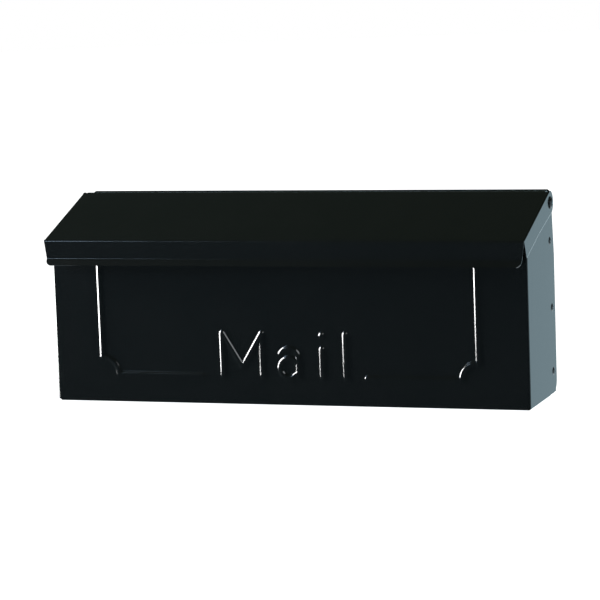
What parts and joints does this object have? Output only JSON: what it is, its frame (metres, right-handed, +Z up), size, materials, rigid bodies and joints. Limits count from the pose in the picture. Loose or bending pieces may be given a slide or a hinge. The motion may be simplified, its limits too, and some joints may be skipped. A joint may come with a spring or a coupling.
{
  "type": "wall mounted mailbox",
  "caption": "Long black sheet-steel letter box for a wall, with a sloping lid that hinges at its rear edge and a pressed frame and word on the front.",
  "frame": {"origin": "middle of the four wall screw holes, on the rear face of the back panel", "axes": "+Z up, -Y out of the wall towards the front, X along the box"},
  "size_m": [0.3976, 0.1028, 0.1612],
  "materials": {
    "black_coated_steel": "gloss black powder coat",
    "black_rivet": "black coated rivet",
    "bare_steel_pin": "bare snapped steel",
    "black_washer": "satin black",
    "nylon_spacer": "black nylon"
  },
  "bodies": {
    "box": {"front_shell": "black_coated_steel", "back_panel": "black_coated_steel", "floor_tray": "black_coated_steel", "side_rivet_top_right": "black_rivet", "side_rivet_top_left": "black_rivet", "side_rivet_middle_right": "black_rivet", "side_rivet_middle_left": "black_rivet", "side_rivet_bottom_right": "black_rivet", "side_rivet_bottom_left": "black_rivet", "side_rivet_pin_top_right": "bare_steel_pin", "side_rivet_pin_top_left": "bare_steel_pin", "side_rivet_pin_middle_right": "bare_steel_pin", "side_rivet_pin_middle_left": "bare_steel_pin", "side_rivet_pin_bottom_right": "bare_steel_pin", "side_rivet_pin_bottom_left": "bare_steel_pin", "hinge_rivet_right": "black_rivet", "hinge_rivet_left": "black_rivet", "hinge_rivet_pin_right": "bare_steel_pin", "hinge_rivet_pin_left": "bare_steel_pin", "hinge_washer_right": "black_washer", "hinge_washer_left": "black_washer", "hinge_spacer_right": "nylon_spacer", "hinge_spacer_left": "nylon_spacer"},
    "lid": {"lid": "black_coated_steel"}
  },
  "joints": [
    {"name": "lid_hinge", "type": "hinge", "parent": "box", "child": "lid", "pos_m": [0, -0.013, 0.067], "axis": [-1, 0, 0], "range_deg": [0, 105]}
  ]
}
